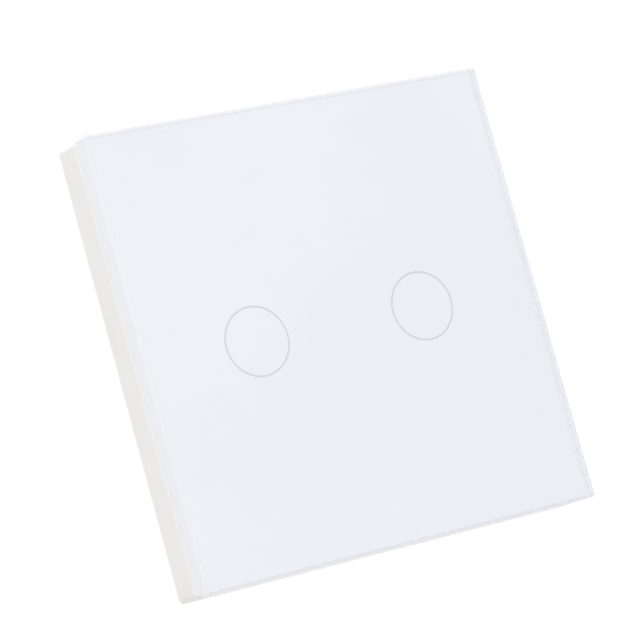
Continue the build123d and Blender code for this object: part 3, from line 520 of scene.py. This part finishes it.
def solder_joints(name, places, board_front, girth):
    """The solder round each pin, on the side of the board that its part doesn't stand on."""
    joints = bmesh.new()
    profile = [(radius * girth, board_front - height) for radius, height in solder_cone]
    for x, z in places:
        turned(joints, profile, x, z, steps=16)
    place_piece(name, closed_up(joints), "solder", "module")


# Glass panel: the plate, the enamel and the ring print on its back
float_faces, ground_rim, back_arris, front_arris = range(4)
flat_lean = 0.99  # a face that leans this far along y is one of the two large faces
arris_lean = 0.1  # one that leans further than this is an arris
print_sink = 0.02


def glass_pane():
    """The glass plate in one piece: clear faces, a ground rim, an arris behind painted grey as shade, and a
    polished one in front."""
    mesh = merged_copy("glass_plate")
    for face in mesh.faces:
        if abs(face.normal.y) > flat_lean:
            face.material_index = float_faces
        elif face.normal.y > arris_lean:
            face.material_index = back_arris
        elif face.normal.y < -arris_lean:
            face.material_index = front_arris
        else:
            face.material_index = ground_rim
    pane = place_piece("glass_pane", mesh, "float_glass", "panel")
    for finish in ("ground_glass_edge", "arris_painted_shade", "polished_arris"):
        pane.data.materials.append(finishes[finish])
    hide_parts("glass_plate")


def fired_on(node, name, finish):
    """A printed layer as it lies on real glass: a copy of the node that is sunk a hair into the glass, so
    that light in the glass meets the print and not an air gap."""
    mesh = merged_copy(node)
    bmesh.ops.translate(mesh, verts=mesh.verts, vec=(0, -print_sink * mm, 0))
    piece = place_piece(name, mesh, finish, "panel")
    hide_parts(node)


glass_pane()
fired_on("back_print", "enamel_layer", "white_enamel")
fired_on("ring_marks", "ring_lines", "ring_ink")


# Touch board: tracks, pads of the touch springs, legs of the chip, small parts and the header's joints
touch_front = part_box("touch_board")[0][1] / mm
touch_copper = 0.05
key_x = 16.95
chip_z = -8.0
chip_pitch = 1.27
chip_places = [(i - 3.5) * chip_pitch for i in range(8)]
header_z = 15.5
header_pitch = 2.54
header_places = [(i - 2.5) * header_pitch for i in range(6)]
signal_width, fine_width, lamp_width, ground_width = 0.4, 0.35, 0.5, 0.8

touch_ways = []
for sign in (-1, 1):
    key_way = [(sign * 11.15, -0.5), (sign * 9.6, -0.5), (sign * 8.6, -1.5), (sign * 8.6, -2.5)]
    chip_way = [(sign * 8.6, -4.3), (sign * 8.0, -4.9), (sign * 4.9, -4.9), (sign * 4.445, -5.2)]
    lamp_way = [(sign * 9.5, 9.0), (sign * 9.5, 12.2), (sign * 6.35, 15.35)]
    feed_way = [(sign * 1.905, -11.0), (sign * 1.905, -12.3)]
    touch_ways += [(key_way, signal_width), (chip_way, signal_width)]
    touch_ways += [(lamp_way, lamp_width), (feed_way, signal_width)]
touch_ways += [([(-1.905, -14.1), (-1.905, -16.0), (1.905, -16.0), (1.905, -14.1)], ground_width)]
bend_z = 4.0
for leg, pin in zip(chip_places[1:7], header_places):
    way = [(leg, -5.0), (leg, bend_z), (pin, bend_z + abs(pin - leg)), (pin, header_z)]
    touch_ways += [(way, fine_width)]
copper_tracks("touch_board_tracks", touch_ways, touch_front, touch_copper)

pad_inside, pad_outside = 5.15, 5.9
pads = bmesh.new()
for x in (-key_x, key_x):
    flat_ring(pads, x, 0.0, pad_inside, pad_outside, touch_front, touch_front - touch_copper, steps=64)
place_piece("spring_pads", closed_up(pads), "gold_plate", "module")

# Legs of the chip: out of its body, down a slanting shin, and along the board. The reaches are from the
# chip's middle to where a leg leaves the body, to its knee, its ankle and its toe.
leg_reaches = (1.9, 2.3, 2.5, 3.05)
leg_width = 0.42
leg_sheet = 0.2
shin_sheet = 0.15
leg_top = touch_front - 0.75
leg_sole = touch_front - touch_copper
legs = bmesh.new()
for x in chip_places:
    for sign in (-1, 1):
        root, knee, ankle, toe = (chip_z + sign * reach for reach in leg_reaches)
        upper = [(leg_top - leg_sheet / 2, root), (leg_top - leg_sheet / 2, knee)]
        upper += [(leg_sole - leg_sheet, ankle), (leg_sole - leg_sheet, toe)]
        lower = [(leg_sole, toe), (leg_sole, ankle - sign * shin_sheet)]
        lower += [(leg_top + leg_sheet / 2, knee - sign * shin_sheet), (leg_top + leg_sheet / 2, root)]
        cut_profile(legs, upper + lower, x - leg_width / 2, leg_width)
place_piece("chip_legs", closed_up(legs), "tinned_copper", "module")

# Small parts, each as (x, z, whether it lies along x), with their tinned ends
resistors = [(-8.6, -3.4, False), (8.6, -3.4, False), (-9.5, 8.1, False), (9.5, 8.1, False)]
capacitors = [(-1.905, -13.2, False), (1.905, -13.2, False), (7.4, -9.6, True)]
small_width = 0.8
body_half, end_half = 0.5, 0.8  # from the middle to the end of the body, and to the end of the tinning
tinning = 0.02
small_edge = 0.05
ends = bmesh.new()
for name, places, finish, height in (
    ("small_resistors", resistors, "resistor_glaze", 0.45),
    ("small_capacitors", capacitors, "capacitor_ceramic", 0.8),
):
    bodies = bmesh.new()
    for x, z, along in places:
        for mesh, start, stop, spare in (
            (bodies, -body_half, body_half, 0.0),
            (ends, -end_half, -body_half, tinning),
            (ends, body_half, end_half, tinning),
        ):
            side = small_width / 2 + spare
            span = (start, stop, -side, side) if along else (-side, side, start, stop)
            low = (x + span[0], touch_front - height - spare, z + span[2])
            box_between(mesh, low, (x + span[1], touch_front, z + span[3]), small_edge)
    place_piece(name, closed_up(bodies), finish, "module")
place_piece("small_part_ends", closed_up(ends), "tinned_copper", "module")

solder_joints("header_joints", [(x, header_z) for x in header_places], touch_front, girth=1.0)


# Power board: the joints of the parts behind it, and the tracks of mains and supply
power_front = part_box("power_board")[0][1] / mm
power_copper = 0.07
mains_width, supply_width = 2.0, 0.9

pole_x = (-9.525, -3.175, 3.175, 9.525)
relay_x = (-6.3, 6.3)
relay_pins = ((-3.2, -7.0), (3.2, -7.0), (-2.6, 8.6), (2.6, 8.6), (0.0, 5.2))
power_pins = [(x, -14.5) for x in pole_x]
power_pins += [(middle + x, z) for middle in relay_x for x, z in relay_pins]
power_pins += [(x, z) for x in (-3.8, 0.0, 3.8) for z in (12.9, 20.2)]
power_pins += [(16.2, 7.6), (18.2, 7.6), (-16.6, -3.0), (-16.6, 7.0), (16.0, -6.0), (16.0, -1.2)]
power_pins += [(-10.4, 13.9), (-10.4, 19.7), (9.3, 14.6), (9.3, 19.0), (11.6, 14.6), (11.6, 19.0)]
solder_joints("power_joints", power_pins, power_front, girth=1.1)

mains_ways = [
    [(-9.525, -14.5), (-9.525, -10.0), (-10.9, -8.6), (-10.9, 6.2), (-8.9, 8.6)],
    [(9.525, -14.5), (9.525, -10.0), (10.9, -8.6), (10.9, 6.2), (8.9, 8.6)],
    [(-3.175, -14.5), (-3.175, -11.5), (0.0, -8.3), (0.0, 5.6), (-3.7, 8.6)],
    [(0.0, 5.6), (3.7, 8.6)],
    [(3.175, -14.5), (5.8, -11.8), (12.4, -11.8), (13.6, -10.6), (13.6, 11.6), (11.6, 14.6)],
]
supply_ways = [
    [(-16.6, 7.0), (-16.6, 10.4), (-10.4, 13.9)],
    [(16.0, -6.0), (16.0, -8.4), (13.6, -10.6)],
    [(9.3, 19.0), (7.0, 21.0), (5.2, 21.0), (3.8, 20.2)],
    [(3.8, 12.9), (9.3, 12.0), (16.2, 7.6)],
]
power_ways = [(way, mains_width) for way in mains_ways] + [(way, supply_width) for way in supply_ways]
copper_tracks("power_board_tracks", power_ways, power_front, power_copper)

# Bare metal end of the smoothing capacitor's can, inside the lip of its sleeve
can_low, can_high = (corner / mm for corner in map(Vector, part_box("smoothing_capacitor")))
can_x, can_z = (can_low.x + can_high.x) / 2, (can_low.z + can_high.z) / 2
end_radius, end_top_radius, end_height = 2.4, 2.3, 0.06
end_level = can_high.y + end_height
end_profile = [(0.0, can_high.y), (end_radius, can_high.y), (end_top_radius, end_level), (0.0, end_level)]
can_end = bmesh.new()
turned(can_end, end_profile, can_x, can_z, steps=48)
place_piece("capacitor_end", closed_up(can_end), "soft_iron", "module")


# Panel frame: the round marks that the ejector pins of the mould leave on the back of its flange
flange_back = -5.2
mark_far, mark_near = 33.0, 11.0
mark_inside, mark_outside, mark_height = 1.35, 1.6, 0.05
mark_columns = (-mark_far, -mark_near, mark_near, mark_far)
mark_places = [(x, z) for x in mark_columns for z in (-mark_far, mark_far)]
mark_places += [(-mark_far, 0.0), (mark_far, 0.0)]
marks = bmesh.new()
for x, z in mark_places:
    flat_ring(marks, x, z, mark_inside, mark_outside, flange_back, flange_back + mark_height, steps=32)
place_piece("ejector_marks", closed_up(marks), "warm_white_abs", "panel")


# Camera: at the photograph's angle, low and to the left of the panel, turned a little round its own axis
camera_place = Vector((-292.0, -502.5, -55.8)) * mm
camera_ahead = Vector((0.5014, 0.8595, 0.0994))
camera_up = Vector((0.1815, -0.2168, 0.9592))
camera_lens = 187.1
camera_nearest = 10 * mm


def set_camera():
    """Stands the camera where the photograph was taken from."""
    data = bpy.data.cameras.new("camera")
    data.lens = camera_lens
    data.clip_start = camera_nearest
    camera = bpy.data.objects.new("camera", data)
    bpy.context.scene.collection.objects.link(camera)
    right = camera_ahead.cross(camera_up).normalized()
    up = right.cross(camera_ahead).normalized()
    turn = Matrix((right, up, -camera_ahead.normalized())).transposed()
    camera.matrix_world = Matrix.Translation(camera_place) @ turn.to_4x4()
    bpy.context.scene.camera = camera


# Light: three soft boxes, an even fill and a pale floor. Each soft box has its place and its side in metres
# and its power in watts.
soft_boxes = {
    "key_light": ((-0.5, -0.62, 0.66), 0.5, 3.85),
    "fill_light": ((1.1, -0.3, 0.6), 0.8, 1.6),
    "back_light": ((0.5, 1.1, 0.7), 0.8, 4.0),
}
world_fill, world_seen = 0.72, 1.0  # what the world lights the object with, and how it looks itself
floor_bounce, floor_seen = 0.8, 0.97  # the same for the floor
floor_level = -125 * mm
floor_reach = 1.6


def set_soft_box(name, place, side, power):
    """A soft box that faces the panel's middle."""
    data = bpy.data.lights.new(name, "AREA")
    data.shape = "SQUARE"
    data.size = side
    data.energy = power
    obj = bpy.data.objects.new(name, data)
    bpy.context.scene.collection.objects.link(obj)
    place = Vector(place)
    obj.matrix_world = Matrix.Translation(place) @ (-place).to_track_quat("-Z", "Y").to_matrix().to_4x4()


def white_to_the_eye(tree, given, seen):
    """One grey for the light that a thing gives, and another for rays from the camera, off gloss or through
    glass, so that it shows as a white background."""
    rays = add(tree, "ShaderNodeLightPath", {}).outputs
    camera_or_gloss = {0: rays["Is Camera Ray"], 1: rays["Is Glossy Ray"]}
    sight = {
        0: add(tree, "ShaderNodeMath", camera_or_gloss, operation="MAXIMUM"),
        1: rays["Is Transmission Ray"],
    }
    eye = add(tree, "ShaderNodeMath", sight, operation="MAXIMUM")
    greys = toned(eye, grey(given), grey(seen))
    return add(tree, "ShaderNodeMix", greys, data_type="RGBA").outputs[mix_result]


def set_world():
    """White where it is seen, and an even grey fill for the light that it gives."""
    world = bpy.data.worlds.new("studio")
    bpy.context.scene.world = world
    world.use_nodes = True
    tree = world.node_tree
    tree.nodes.clear()
    colour = white_to_the_eye(tree, world_fill, world_seen)
    background = add(tree, "ShaderNodeBackground", {"Color": colour, "Strength": 1.0})
    add(tree, "ShaderNodeOutputWorld", {"Surface": background})


def set_floor():
    """A plain floor of pale paper below the panel, which keeps its shadow and looks white in the light."""
    mesh = bmesh.new()
    bmesh.ops.create_grid(mesh, x_segments=1, y_segments=1, size=floor_reach)
    bmesh.ops.translate(mesh, verts=mesh.verts, vec=(0, 0, floor_level))
    data = bpy.data.meshes.new("floor")
    mesh.to_mesh(data)
    mesh.free()
    floor = bpy.data.objects.new("floor", data)
    bpy.context.scene.collection.objects.link(floor)
    material, tree = bare_material("paper_floor")
    paper = add(tree, "ShaderNodeBsdfDiffuse", {"Color": white_to_the_eye(tree, floor_bounce, floor_seen)})
    add(tree, "ShaderNodeOutputMaterial", {"Surface": paper})
    data.materials.append(material)


set_camera()
set_world()
set_floor()
for name, (place, side, power) in soft_boxes.items():
    set_soft_box(name, place, side, power)
bpy.context.scene.view_settings.view_transform = "Standard"
